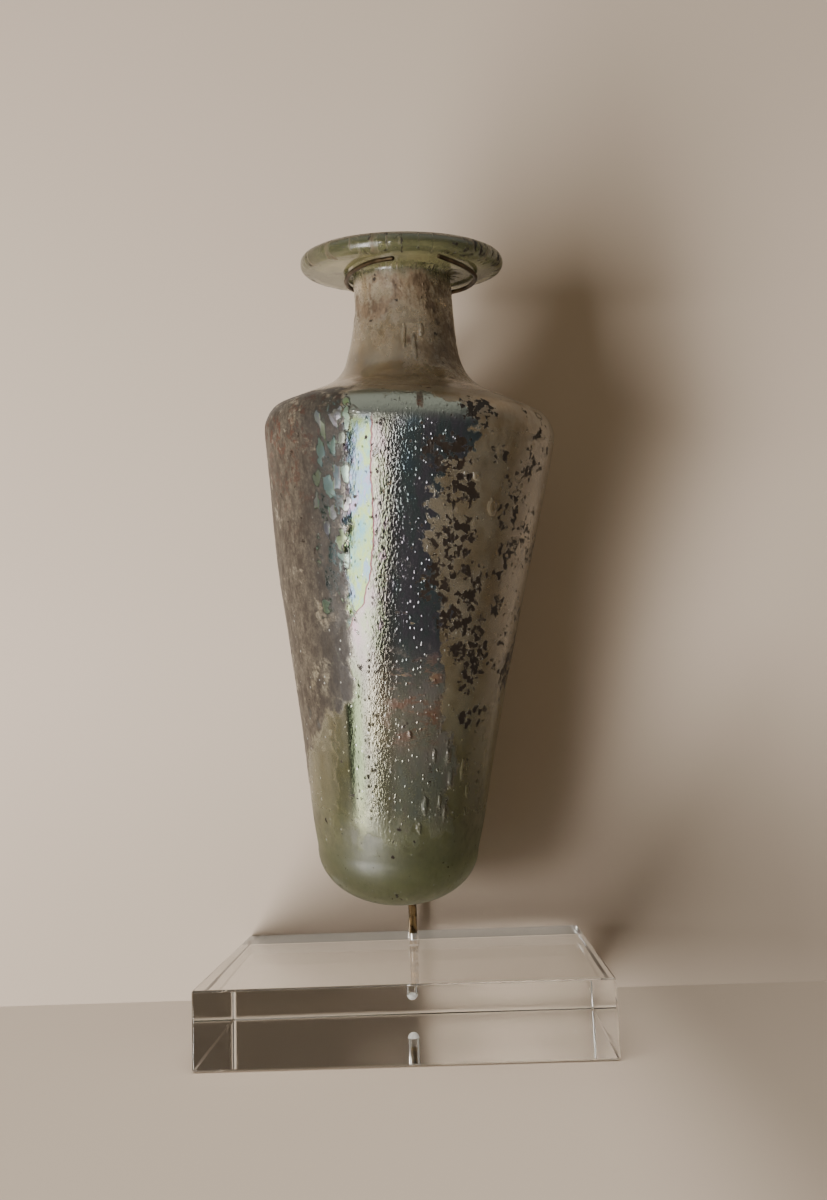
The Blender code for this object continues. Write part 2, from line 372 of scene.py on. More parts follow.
# The backdrop gets the window light that the clear block bends
for lamp in (ground_lamp, window_lamp):
    lamp.data.cycles.is_caustics_light = True
backdrop.cycles.is_caustics_receiver = True
print("sky lamp at", [round(c, 2) for c in sky_lamp.location], "and lamp behind at",
      [round(c, 2) for c in back_lamp.location])

# %% The sky of the scene
world = bpy.data.worlds.new("room")
bpy.context.scene.world = world
world.use_nodes = True
room = world.node_tree
direction = node(room, "TexCoord").outputs["Generated"]
along = node(room, "SeparateXYZ", {0: direction}).outputs
ray = node(room, "LightPath").outputs
towards_viewer = fade(room, along["Y"], 0.5, 0.0)

# What mirrors show: an unlit room that is brighter overhead, and the pale far side
unlit = ramp(room, along["Z"], ((0.0, (0.030, 0.038, 0.044)), (0.35, (0.20, 0.23, 0.23)),
                                (0.75, (0.95, 1.00, 0.92))))
mirrored = blend(room, towards_viewer, (0.42, 0.38, 0.33), unlit)
through_glass = fade(room, ray["Transmission Depth"], 0.0, 1.0)
mirrored = blend(room, through_glass, mirrored, (0.36, 0.33, 0.285))
seen = blend(room, ray["Is Glossy Ray"], (0.55, 0.50, 0.45), mirrored)
added = blend(room, towards_viewer, (0.28, 0.25, 0.21), (0.170, 0.137, 0.090))
colour = blend(room, fade(room, ray["Diffuse Depth"], 0.0, 1.0), seen, added)
room.links.new(colour, room.nodes["Background"].inputs["Color"])
room.nodes["Background"].inputs["Strength"].default_value = 1.0
print("sky:", len(room.nodes), "nodes")

# %% [markdown]
# ## The flask's outline
#
# Blown glass is round, so half of its outline, turned about its axis, gives the whole vessel.
# The outline here runs from the lowest point of the hollow up the inside, over the lip and down
# the outside to the base: one closed wall, as thin as the real one and open at the mouth. A few
# radii and heights, read from the same design as the solid, are joined by a smooth curve
# (Catmull-Rom), so that there is no need for hundreds of numbers. The outside gets short steps,
# because pits and flakes are pressed into it later, and the inside gets long ones.

# %% Radii and heights in millimetres, measured along the flask's own axis
DOME_RADIUS, DOME_HEIGHT, DOME_POWER = 23.2, 16.5, 2.1
SIDE = ((23.2, 16.5), (24.9, 26.0), (27.8, 47.0), (31.9, 73.0), (36.1, 97.5), (39.2, 119.0))
SHOULDER = ((40.8, 131.0), (40.5, 135.3), (38.1, 139.1), (33.0, 141.6), (27.2, 144.1))
NECK = ((21.4, 146.9), (17.7, 150.8), (15.9, 155.8), (14.9, 161.2), (14.1, 168.2), (14.0, 175.2))
RIM_FILLET = 1.2
LIP_CENTRE, LIP_RADIUS = (26.0, 180.8), 2.74
RIM_TOP = ((24.0, 182.84), (20.0, 182.04), (15.4, 180.74), (12.5, 178.4))
RIM_UNDERSIDE_RADII = (24.8, 23.4, 21.8, 20.2, 18.6, 17.0)
SIDE_WALL, NECK_WALL, FLOOR_THICKNESS = 2.3, 2.6, 6.5
WALL_THICKENS = (140.0, 155.0)  # between these heights, from the side's thickness to the neck's
print("flask:", round(LIP_CENTRE[1] + LIP_RADIUS, 1), "mm tall,",
      2 * max(radius for radius, height in SHOULDER), "mm wide at the shoulder")

# %% Curves through them
def smooth_line(points, longest):
    """Points along a smooth curve through the given ones, no step over `longest`."""
    ends = [2 * Vector(points[0]) - Vector(points[1]), 2 * Vector(points[-1]) - Vector(points[-2])]
    knots = [ends[0], *map(Vector, points), ends[1]]
    line = []
    for p0, p1, p2, p3 in zip(knots, knots[1:], knots[2:], knots[3:]):
        steps = max(1, math.ceil((p2 - p1).length / longest))
        for t in (i / steps for i in range(steps)):
            line.append(0.5 * (2 * p1 + (p2 - p0) * t + (2 * p0 - 5 * p1 + 4 * p2 - p3) * t * t
                               + (3 * p1 - p0 - 3 * p2 + p3) * t * t * t))
    return line + [knots[-2]]


def arc(centre, radius, start, end, steps):
    """Points along part of a circle, with its angles in degrees."""
    angles = [math.radians(start + (end - start) * i / steps) for i in range(steps + 1)]
    return [Vector((centre[0] + radius * math.cos(a), centre[1] + radius * math.sin(a)))
            for a in angles]


def dome(radius, bottom, height, steps):
    """A rounded base, from its lowest point on the axis up to where the side begins."""
    line = []
    for rise in (1 - math.cos(math.pi / 2 * i / steps) for i in range(steps)):
        across = (1 - (1 - rise) ** DOME_POWER) ** (1 / DOME_POWER)
        line.append(Vector((radius * across, bottom + height * rise)))
    return line


def ease(value, start, end):
    """0 before start, 1 after end, and a smooth rise between them."""
    t = min(1.0, max(0.0, (value - start) / (end - start)))
    return t * t * (3 - 2 * t)


def wall_line(line):
    """The wall's inner line: each point moved towards the axis by the glass's thickness."""
    inner = []
    for i, point in enumerate(line):
        along = line[min(i + 1, len(line) - 1)] - line[max(i - 1, 0)]
        thick = SIDE_WALL + (NECK_WALL - SIDE_WALL) * ease(point.y, *WALL_THICKENS)
        inner.append(point + Vector((-along.y, along.x)).normalized() * thick)
    return inner

# %% The whole outline
OUTER_STEP, INNER_STEP, MOUTH_STEP = 0.85, 6.0, 1.5     # millimetres
OUTER_DOME_STEPS, INNER_DOME_STEPS, LIP_STEPS, FILLET_STEPS = 40, 14, 26, 5


def flask_outline():
    """Up the inside, over the lip and down the outside."""
    rising = smooth_line(SIDE + SHOULDER + NECK, OUTER_STEP)
    inner_side = wall_line(smooth_line(SIDE + SHOULDER + NECK, INNER_STEP))[1:]
    inner_base = dome(inner_side[0].x, FLOOR_THICKNESS, inner_side[0].y - FLOOR_THICKNESS,
                      INNER_DOME_STEPS)
    lip_bottom = LIP_CENTRE[1] - LIP_RADIUS
    fillet_centre = (rising[-1].x + RIM_FILLET, lip_bottom - RIM_FILLET)
    underside = [Vector((radius, lip_bottom)) for radius in RIM_UNDERSIDE_RADII]
    lip = arc(LIP_CENTRE, LIP_RADIUS, 115, -90, LIP_STEPS)
    mouth = list(reversed(smooth_line(RIM_TOP, MOUTH_STEP)))
    outer_base = dome(DOME_RADIUS, 0.0, DOME_HEIGHT, OUTER_DOME_STEPS)
    outside = outer_base + rising + arc(fillet_centre, RIM_FILLET, 180, 90, FILLET_STEPS)
    return inner_base + inner_side + mouth + lip + underside + list(reversed(outside))


outline = flask_outline()
print(len(outline), "points, from", [round(c, 1) for c in outline[0]],
      "to", [round(c, 1) for c in outline[-1]])

# %% [markdown]
# ## Turning it
#
# `spin` turns the outline about the axis in 280 steps and joins the last to the first. The two
# ends of the outline lie on the axis, where 280 points fall on one, so doubles are merged, and
# only then are the normals worked out again: spin often leaves a shape inside out, and glass that
# is inside out bends light the wrong way.

# %% Spin the outline
AROUND = 280                    # steps in a full turn


def spun(line, steps, weld):
    """A closed shape turned from a line of (radius, height), with points within `weld` joined."""
    bm = drawn_line((radius, 0.0, height) for radius, height in line)
    bmesh.ops.spin(bm, geom=bm.verts[:] + bm.edges[:], cent=(0, 0, 0), axis=(0, 0, 1),
                   angle=math.tau, steps=steps, use_merge=True)
    bmesh.ops.remove_doubles(bm, verts=bm.verts, dist=weld)
    bmesh.ops.recalc_face_normals(bm, faces=bm.faces)
    bm.normal_update()
    return bm


flask = spun(outline, AROUND, 0.001)
print(len(flask.verts), "points,", len(flask.faces), "faces, glass volume",
      round(flask.calc_volume(signed=True) / 1000, 1), "cm3")

# %% [markdown]
# ## A map of the weathering
#
# What makes this flask itself is where its skin has changed. The changes could be painted by
# hand on an unwrapped image, but the rule of this file is that nothing is read from disk, and a
# painting would not be reusable. Instead a few functions answer, for any point of the glass, how
# much of each change is there: silvery film, soil, milky haze, dark pits, lifted flakes. They
# work with two plain measures, the height in millimetres and the turn in degrees from the front
# (positive to the viewer's right), and with clouds of smooth noise that break up every edge.
#
# The answers are stored on the points as attributes, and both the shape (how deep a pit is) and
# the colour (how dark it is) read the same ones, so that they can't drift apart.

# %% Clouds and patches
def cloud(place, size, seed, octaves=3):
    """Smooth random value from about -1 to 1, in blotches of about `size` millimetres."""
    return noise.fractal(place / size + Vector((seed, 1.7 * seed, -seed)), 0.9, 2.0, octaves)


def band(value, low, high, soft):
    """1 between low and high, with soft edges."""
    return ease(value, low - soft, low + soft) * (1 - ease(value, high - soft, high + soft))


def spot(turn, height, at, size):
    """An oval patch that is 1 at its middle and 0 at its edge, sizes in degrees and millimetres."""
    across = ((turn - at[0] + 180) % 360 - 180) / size[0]
    up = (height - at[1]) / size[1]
    return 1 - ease(math.hypot(across, up), 0.55, 1.0)

# %% The silvery film, and where it has flaked away
def film_at(turn, height, place):
    """The metallic film: a broad panel down the front, and a thinner one round the back."""
    # The panel's right and left edges, in degrees, both step outwards on the way down the body
    right = 13 + 8 * ease(height, 105, 85) + 16 * ease(height, 66, 40)
    right += 13 * spot(turn, height, (20, 130), (26, 9))
    left = -23 - 12 * ease(height, 84, 72) - 8 * ease(height, 40, 25)
    front = min((turn - left) / 5 + 0.7 * cloud(place, 2.4, 15, 2), (right - turn) / 9)
    back = (abs(turn) - 125) / 12 - 0.5
    # It ends above the base and under the neck, and small holes are eaten through it
    low, high = (height - 23) / 14, (140.0 - height) / 3.0
    holes = 0.85 - cloud(place, 2.6, 12, 2) - 0.5 * cloud(place, 9, 14, 1)
    ragged = 0.7 * cloud(place, 8.0, 3) + 0.5 * cloud(place, 2.2, 16, 2)
    return min(max(front + ragged, min(back, 0.5) + ragged), low + 0.4 * cloud(place, 5.0, 4),
               high + 0.3 * cloud(place, 6.0, 5), 3 * holes)

# %% Soil and haze
def soil_at(turn, height, place):
    """Brown earth: on the left side, the neck, the rim and thinly all round the back."""
    left = min((-21 - turn) / 7, (turn + 125) / 14, (143 - height) / 4,
               (height - 50 - 0.45 * (turn + 45)) / 9 + 0.5 * cloud(place, 4, 27))
    neck = min((height - 147) / 9, (turn + 12) / 20 - 0.02 * abs(turn - 40), 0.40)
    neck = max(neck, min((height - 159) / 14, 0.38))
    # A lump low on the left, and a short dark run over the shoulder
    stain = spot(turn, height, (-66, 66), (16, 12)) - 0.42
    drip = 1.6 * spot(turn, height, (6.0, 137.5), (2.0, 3.4)) - 0.8
    back = min((abs(turn) - 112) / 14, (height - 20) / 12, 0.25)
    patch = min(max(1.6 * left, neck, stain, back), 0.8, (177 - height) / 2)

    # On the rim it lies in short dashes that run outwards
    rim = -1.0
    if height > 175:
        dash = Vector((turn / 2.4, math.hypot(place.x, place.y) / 7, 0.0))
        rim = min((height - 175.5) / 1.5, 1.0) * (1.1 * cloud(dash, 1.0, 25, 3) - 0.20)
    return max(patch + 0.5 * cloud(place, 8, 23) + 0.35 * cloud(place, 2.0, 24), drip, rim)


def haze_at(turn, height, place):
    """Whitish haze, strongest on the rim and the neck's left, weak on the body and the base."""
    neck = band(height, 146, 170, 5) * (1 - 0.8 * ease(turn, -5, 45))
    side = 0.45 * band(height, 24, 138, 10) + 0.85 * ease(height, 172, 178)
    base = 0.45 * ease(height, 45, 22)
    return min(1.0, max(0.0, (0.65 * neck + side + base) * (0.8 + 0.5 * cloud(place, 9, 32))))

# %% Clusters of pits, as (turn, height, size) in degrees and millimetres
FLAKED = ((17, 124, 6), (23, 115, 5), (22, 104, 6), (18, 92, 6), (31, 92, 6), (36, 79, 6),
          (24, 82, 4), (28, 135, 4), (38, 125, 3), (33, 76, 5), (42, 73, 6), (38, 66, 4),
          (48, 56, 4), (40, 56, 3), (46, 45, 2), (52, 100, 4), (45, 110, 3), (50, 86, 3))
PITTED_RIM = 176                # above this height the pits are dashes across the rim
print(len(FLAKED), "clusters of pits")


def pits_at(turn, height, place):
    """Dark pits, clustered where the film has flaked off, and scattered at the side and back."""
    if height > PITTED_RIM:
        dash = Vector((turn / 2.0, math.hypot(place.x, place.y) / 9, 0.0))
        return 1.3 * cloud(dash, 1.0, 45, 2) - 0.70 + 0.25 * ease(turn, 10, 60)
    side = min((turn - 50) / 20, (112 - turn) / 20, (height - 56) / 12, (134 - height) / 8) - 0.25
    back = min((abs(turn) - 105) / 15, (height - 36) / 12, (128 - height) / 8) - 0.3
    rest = 0.8 * min(0.0, max(side, back, -1.0)) + 0.85 * cloud(place, 11, 41) - 0.50
    front = max(spot(turn, height, (at, up), (2.3 * size, 1.35 * size)) for at, up, size in FLAKED)
    front = 0.90 * front - 0.88
    return max(front, rest) + 0.40 * cloud(place, 4, 42) + 0.60 * cloud(place, 1.8, 43, 2)

# %% The long crack in the film, as (height, turn) in millimetres and degrees
CRACK = ((40, -46), (56, -38), (67, -30), (77, -25), (82, -20), (87, -14), (95, -11), (103, -10),
         (111, -10.6), (120, -11.6), (134, -11), (200, -9))
DEGREE_WIDTH = 0.65             # millimetres round the body, about
print("crack from", CRACK[0][0], "mm up, over", len(CRACK), "places")


def crack_at(turn, height):
    """How far right of the long crack in the film a point is, in units of 4 millimetres."""
    for (low, start), (high, end) in zip(CRACK, CRACK[1:]):
        if low <= height <= high:
            middle = start + (end - start) * ease(height, low, high)
            return (turn - middle) * DEGREE_WIDTH / 4 + 0.03 * math.sin(height * 2.1)
    return 1.0

# %% Lifted flakes of film
SCATTER = Vector((12.99, 78.23, 37.72))     # any odd numbers: they make a hash of a flake's centre


def flakes_at(turn, height, place):
    """Lifted flakes of film: how far inside one a point is, and a random number for each."""
    distances, centres = noise.voronoi(Vector((place.x, place.y, 0.50 * place.z)) / 3.0)
    shade = (math.sin(centres[0].dot(SCATTER)) * 43758.5453) % 1.0
    # They lie in one upright strip between the soil and the film
    zone = min((turn + 35) / 4, (-19 - turn) / 3, (height - 86) / 12, (137 - height) / 4, 0.5)
    inside = 2.5 * (distances[1] - distances[0]) - 0.28
    return min(zone + 0.9 * cloud(place, 4, 51), inside, 1.6 * (shade - 0.22)), shade

# %% [markdown]
# ## Relief in the glass
#
# Now the map is read at every point of the outside, and the point is moved along its normal:
# film stands a tenth of a millimetre proud, pits go down a quarter, soil is lumpy, and the
# whole wall swells and dips a little because it was blown and not cast. A displacement modifier
# could do it, but it reads one texture at a time. Every move ends a little inwards of the turned
# surface, so that the flask stays inside its solid. Long bubbles that lie just under the skin
# raise it into small ovals, pulled out lengthwise as the glass was.

# %% Bubbles, as (turn, height, half width, half height) in degrees and millimetres
BUBBLES = ((37.5, 111.4, 1.8, 2.1), (28.6, 118.9, 1.3, 1.0), (24.5, 119.0, 1.0, 0.8),
           (30.0, 46.0, 1.5, 2.2), (33.0, 40.0, 1.3, 2.6), (22.0, 46.5, 1.1, 1.7),
           (41.0, 42.0, 1.2, 2.8), (18.0, 33.0, 1.6, 2.6), (27.0, 34.0, 1.0, 1.9),
           (31.0, 30.5, 1.2, 2.2), (15.0, 27.0, 1.1, 1.4), (8.0, 52.0, 0.9, 1.0),
           (47.0, 36.0, 1.0, 2.4), (-57.0, 56.0, 2.0, 1.6), (-49.0, 53.0, 1.6, 1.3),
           (3.0, 158.0, 2.0, 3.4), (13.0, 155.0, 2.4, 3.8), (21.0, 160.0, 2.6, 2.0),
           (-24.0, 133.0, 2.0, 1.4), (-18.0, 134.5, 1.5, 1.0), (62.0, 137.0, 2.6, 0.9),
           (150.0, 90.0, 1.6, 2.2), (-140.0, 60.0, 1.4, 2.0), (170.0, 40.0, 1.2, 2.4))
print(len(BUBBLES), "bubbles")


def bubble_at(turn, height):
    """Height of the oval swelling over a bubble, from 0 to 1."""
    best = 0.0
    for at_turn, at_height, wide, tall in BUBBLES:
        if abs(height - at_height) < tall:
            across = ((turn - at_turn + 180) % 360 - 180) / wide
            best = max(best, 1 - across * across - ((height - at_height) / tall) ** 2)
    return math.sqrt(best)

# %% Read the map at one point
def outside_changes(place):
    """Every change at a point of the outside, from -1 to 1, by name."""
    turn, height = math.degrees(math.atan2(place.x, -place.y)), place.z
    flake, shade = flakes_at(turn, height, place)
    return {"film": film_at(turn, height, place), "soil": soil_at(turn, height, place),
            "haze": haze_at(turn, height, place), "pits": pits_at(turn, height, place),
            "flake": flake, "shade": shade, "bubble": bubble_at(turn, height),
            "crack": crack_at(turn, height)}


def inside_changes(place):
    """The inside of the wall has a little soil and haze, and nothing else."""
    return {"film": -1.0, "soil": 0.7 * cloud(place, 7, 62) - 0.40,
            "haze": max(0.0, 0.2 + 0.3 * cloud(place, 10, 61)), "pits": -1.0, "flake": -1.0,
            "shade": 0.0, "bubble": 0.0, "crack": 1.0}

# %% How far a point moves, in millimetres
PRESSED_IN = 0.30               # the skin starts this far inside the turned surface
FILM_RISE, FLAKE_RISE, SOIL_LUMPS, BUBBLE_RISE, PIT_DEPTH = 0.08, 0.08, 0.09, 0.26, 0.22
WALL_SWELL = 0.10
SHALLOWEST, SHALLOWEST_ON_EDGES = 0.03, 0.08    # the rim and the shoulder's edge stay further in


def relief(place, changes):
    """How far outwards a point of the outside moves: always a little inwards in all."""
    move = FILM_RISE * ease(changes["film"], -0.1, 0.1) - PRESSED_IN
    move -= PIT_DEPTH * ease(changes["pits"], -0.05, 0.2)
    move += SOIL_LUMPS * ease(changes["soil"], 0, 0.6) * (0.5 + cloud(place, 1.2, 71))
    move += BUBBLE_RISE * changes["bubble"] + WALL_SWELL * cloud(place, 34, 72, 2)
    move += FLAKE_RISE * ease(changes["flake"], -0.05, 0.1)
    on_rim = place.z > 176.0
    on_shoulder_edge = math.hypot(place.x, place.y) > 34 and place.z > 139
    if on_rim or on_shoulder_edge:
        move = min(move, -SHALLOWEST_ON_EDGES)
    return min(move, -SHALLOWEST)

# %% Store the map on every point, and press it into the outside
def weather(bm):
    """Store the weathering on the points and move those of the outside."""
    names = inside_changes(Vector())
    stored = {name: bm.verts.layers.float.new(name) for name in names}
    moves = []
    for vert in bm.verts:
        place = vert.co.copy()
        faces_out = vert.normal.dot(Vector((place.x, place.y, 0.0))) > 0
        outside = faces_out or place.z < FLOOR_THICKNESS - 0.5      # or lies under the hollow
        changes = outside_changes(place) if outside else inside_changes(place)
        for name, amount in changes.items():
            vert[stored[name]] = max(-1.0, min(1.0, amount))
        if outside:
            moves.append((vert, vert.normal * relief(place, changes)))
    for vert, move in moves:
        vert.co += move
    return len(moves)


print(weather(flask), "points of the outside weathered")

# %% [markdown]
# ## Blown by hand, and hung at a lean
#
# A vessel shaped on the blowpipe is never quite true: this one's shoulder stands off to the
# right, its neck comes back to the left, and its rim tilts. `hand_blown` moves every point by
# the same small sums that shaped the solid. Then one matrix hangs the flask at its lean, and it
# is applied to the mesh, so that the finished piece's object stays at the origin.

# %% Sway, tilt and hang it
BODY_SWAY, NECK_SWAY, RIM_SWAY, SHOULDER_DROP = 1.2, -2.1, -1.0, 0.013
RIM_TILT = Euler((math.radians(2.8), math.radians(-1.7), 0.0))
FLASK_BASE = Vector((-3.1, 12.55, 31.2)) * MM
LEAN = Euler((math.radians(9.5), math.radians(3.4), 0.0))


def hand_blown(point):
    """Where a point of the true turned shape is on the free-blown flask, in millimetres."""
    tilted = ease(point.z, 166.0, 178.0)
    sway = BODY_SWAY * ease(point.z, 85.0, 130.0) + NECK_SWAY * ease(point.z, 137.0, 157.0)
    sway += RIM_SWAY * tilted
    centre = Vector((0.0, 0.0, LIP_CENTRE[1]))
    turn = Euler((RIM_TILT.x * tilted, RIM_TILT.y * tilted, 0.0)).to_matrix()
    drop = SHOULDER_DROP * point.x * (ease(point.z, 105.0, 135.0) - ease(point.z, 146.0, 160.0))
    return centre + turn @ (point - centre) + Vector((sway, 0.0, -drop))


for vert in flask.verts:
    vert.co = hand_blown(vert.co)
hang = Matrix.Translation(FLASK_BASE) @ LEAN.to_matrix().to_4x4() @ Matrix.Scale(MM, 4)
bmesh.ops.transform(flask, matrix=hang, verts=flask.verts)
print("flask reaches", round(max(v.co.z for v in flask.verts) * 1000, 2), "mm up")

# %% [markdown]
# ## The weathered glass finish
#
# The glass is one finish and not four, because the real changes are one skin: film, soil and pits
# lie on the same surface and eat into each other. So one Principled shader reads the stored map,
# and each value is built up in the order in which the real thing was made. First comes the glass,
# paler where the wall is thin and olive where it is thick. Then comes the milky haze, the film
# with its drifting tints, the soil, the lifted flakes and last the pits.
#
# It could be written as one long function, but each layer is easier to follow in a short one. The
# layers share a set of values, the skin, which says where a point is on the flask and how much of
# each change is there. A few more helpers keep the sums short.

# %% Helpers for the layers
def attribute(tree, name):
    """A value stored on the mesh's points."""
    return node(tree, "Attribute", attribute_name=name).outputs["Fac"]


def most(tree, value, *others):
    """The largest of some values."""
    for other in others:
        value = sum_of(tree, "MAXIMUM", value, other)
    return value


def band_of(tree, value, start, full, end, still):
    """1 between full and still, fading to 0 at start and end."""
    return times(tree, fade(tree, value, start, full), fade(tree, value, end, still))


def squeezed(tree, place, by):
    """The place with its height multiplied: below 1, a pattern comes out drawn lengthwise."""
    return stretched(tree, place, (1.0, 1.0, by))


def dots(tree, place, size, radius, share, tall=1.0):
    """Round dots at random places: 1 in the middle of each and 0 at its edge."""
    cells = node(tree, "TexVoronoi", {"Vector": squeezed(tree, place, 1.0 / tall),
                                      "Scale": 1.0 / size}).outputs
    picked = node(tree, "SeparateColor", {0: cells["Color"]}).outputs[0]
    chosen = sum_of(tree, "LESS_THAN", picked, share)
    return times(tree, fade(tree, cells["Distance"], radius, 0.0), chosen)

# %% [markdown]
# ## Reading the map
#
# The points of the mesh are almost a millimetre apart, too far for the crisp edge of a flake of
# film. So the stored values only say where an edge runs, and a fine grain is added to them before
# they are cut off. Heights are in metres here, and turns in radians from the front, because that
# is what a shader gets. Both are taken in the flask's own upright frame, which the Mapping node
# finds again from the lean.

# %% Where a point is
def skin_place(tree):
    """A point's place, height and turn on the flask, and the grains that several layers share."""
    skin = SimpleNamespace()
    raw = node(tree, "TexCoord").outputs["Object"]
    skin.place = stretched(tree, raw, (1.0, 1.0, 1.0), tuple(LEAN), tuple(FLASK_BASE))
    sides = node(tree, "SeparateXYZ", {0: skin.place}).outputs
    skin.height = sides["Z"]
    skin.turn = sum_of(tree, "ARCTAN2", sides["X"], times(tree, sides["Y"], -1.0))
    skin.fine = sum_of(tree, "SUBTRACT", grain(tree, skin.place, 0.0010, 4.0, 0.65), 0.5)
    skin.cloudy = grain(tree, squeezed(tree, skin.place, 0.6), 0.0022, 5.0, 0.7)
    skin.mottle = grain(tree, squeezed(tree, skin.place, 0.50), 0.0032, 7.0, 0.78)
    return skin


def edge(tree, name, low, high, broken, by):
    """How much of a change is there, with its edge broken up by fine grain."""
    return fade(tree, sum_of(tree, "MULTIPLY_ADD", by, broken, attribute(tree, name)), low, high)

# %% How much film, soil, flake and haze is there
def read_changes(tree, skin):
    """The broad changes. The film is thinner low down, on both sides of its bright band."""
    film = edge(tree, "film", -0.10, 0.12, 0.9, skin.fine)
    skin.soil = edge(tree, "soil", -0.15, 0.65, 0.9, skin.fine)
    skin.flake = edge(tree, "flake", -0.03, 0.10, 0.9, skin.fine)
    skin.crack = sum_of(tree, "MULTIPLY_ADD", skin.fine, 0.10, attribute(tree, "crack"))
    skin.haze = times(tree, attribute(tree, "haze"), fade(tree, skin.cloudy, 0.25, 0.75, 0.6, 1.35))
    skin.unflaked = sum_of(tree, "SUBTRACT", 1.0, skin.flake)
    skin.whole_film = times(tree, film, skin.unflaked, fade(tree, skin.height, 0.006, 0.044))
    thin = sum_of(tree, "ADD", fade(tree, skin.turn, -0.36, -0.14),
                  fade(tree, skin.turn, -0.44, -0.50, 0.0, 1.4))
    thin = times(tree, fade(tree, skin.height, 0.080, 0.056), thin)
    skin.film = times(tree, skin.whole_film, sum_of(tree, "MULTIPLY_ADD", thin, -0.42, 1.0))

# %% Pits, and pinholes and flecks too small for the mesh
def read_pits(tree, skin):
    """Pits from the map, with pinholes through the film and dark flecks beside it."""
    speck = sum_of(tree, "MULTIPLY_ADD", grain(tree, skin.place, 0.0016, 4.0, 0.6), 2.6, -1.3)
    pits = edge(tree, "pits", -0.04, 0.08, 1.5, speck)
    pinholes = fade(tree, dots(tree, skin.place, 0.0028, 0.20, 0.35, 1.3), 0.1, 0.4)
    pinholes = times(tree, pinholes, skin.film)
    beside = sum_of(tree, "ADD", fade(tree, skin.turn, 0.10, 0.45),
                    fade(tree, skin.turn, -0.55, -0.85, 0.0, 0.7))
    flecks = fade(tree, dots(tree, skin.place, 0.0021, 0.34, 0.45, 1.4), 0.1, 0.35)
    flecks = times(tree, flecks, beside, fade(tree, attribute(tree, "pits"), -0.9, -0.1))
    skin.pits = most(tree, pits, most(tree, pinholes, flecks))

# %% Bubbles, pale seeds and the rusty stain
def read_small_things(tree, skin):
    """Long bubbles low on the right and their outlines, seeds in the glass, and an ember stain."""
    lengths = dots(tree, skin.place, 0.0042, 0.17, 0.55, 2.3)
    lengths = times(tree, lengths, band_of(tree, skin.height, 0.020, 0.030, 0.066, 0.054),
                    fade(tree, skin.turn, 0.15, 0.35))
    skin.bubble = most(tree, attribute(tree, "bubble"), lengths)
    skin.outline = times(tree, band_of(tree, skin.bubble, 0.04, 0.22, 0.75, 0.50), 0.55)
    seeds = fade(tree, dots(tree, skin.place, 0.0015, 0.20, 0.30, 1.6), 0.1, 0.4)
    skin.seeds = times(tree, seeds, fade(tree, skin.height, 0.092, 0.074, 0.15, 0.8))
    patchy = grain(tree, squeezed(tree, skin.place, 2.0), 0.007, 5.0, 0.7)
    skin.ember = times(tree, band_of(tree, skin.height, 0.046, 0.053, 0.078, 0.068),
                       fade(tree, skin.turn, -0.20, 0.02), fade(tree, skin.turn, 0.48, 0.34),
                       fade(tree, patchy, 0.46, 0.60, 0.0, 0.85))

# %% [markdown]
# ## The colours of the layers
#
# Real iridescence is light that meets itself in layers thinner than a soap bubble. A shader could
# work that out, but it would change with the view and could not be carried into other programs.
# So the film is a metal whose colour drifts between teal, green, blue and rose with a stretched
# noise, which holds still and looks much the same. A metal's colour is what it does to the light
# that it mirrors, so these tints are dark, and the bright band comes from the lamp.

# %% Tints of the film, as (position, colour) from 0 to 1
COOL_TINTS = ((0.30, (0.040, 0.090, 0.095)), (0.44, (0.085, 0.112, 0.040)),
              (0.54, (0.055, 0.085, 0.110)), (0.68, (0.120, 0.065, 0.095)))
WARM_TINTS = ((0.30, (0.115, 0.080, 0.090)), (0.47, (0.100, 0.090, 0.080)),
              (0.58, (0.092, 0.100, 0.065)), (0.70, (0.115, 0.076, 0.095)))
STEEL_TINTS = ((0.30, (0.115, 0.150, 0.175)), (0.45, (0.130, 0.155, 0.150)),
               (0.58, (0.160, 0.145, 0.165)), (0.72, (0.115, 0.150, 0.140)))
FLAKE_TINTS = ((0.25, (0.20, 0.29, 0.28)), (0.40, (0.36, 0.50, 0.46)), (0.58, (0.28, 0.34, 0.17)),
               (0.74, (0.50, 0.52, 0.47)), (0.88, (0.30, 0.25, 0.28)), (1.0, (0.26, 0.42, 0.41)))
print("tints:", sum(map(len, (COOL_TINTS, WARM_TINTS, STEEL_TINTS, FLAKE_TINTS))))

# %% Glass
def glass_colour(tree, skin):
    """Near colourless in the thin wall, olive in the thick base and lip, and dull under haze."""
    thick = most(tree, fade(tree, skin.height, 0.088, 0.004),
                 fade(tree, skin.height, 0.1735, 0.1775))
    olive = blend(tree, fade(tree, skin.height, 0.10, 0.15), (0.24, 0.27, 0.100),
                  (0.31, 0.325, 0.175))
    murk = grain(tree, squeezed(tree, skin.place, 0.55), 0.0055, 6.0, 0.72)
    glass = blend(tree, fade(tree, murk, 0.44, 0.62), (0.77, 0.67, 0.49), (0.56, 0.44, 0.27))
    glass = blend(tree, thick, glass, olive)
    dull = blend(tree, fade(tree, skin.turn, 0.15, 0.50), (0.175, 0.150, 0.120),
                 (0.095, 0.070, 0.038))
    dull = blend(tree, thick, dull, (0.058, 0.062, 0.027))
    dull = blend(tree, fade(tree, skin.cloudy, 0.62, 0.38), dull, (0.085, 0.062, 0.036))
    return blend(tree, skin.haze, glass, dull)

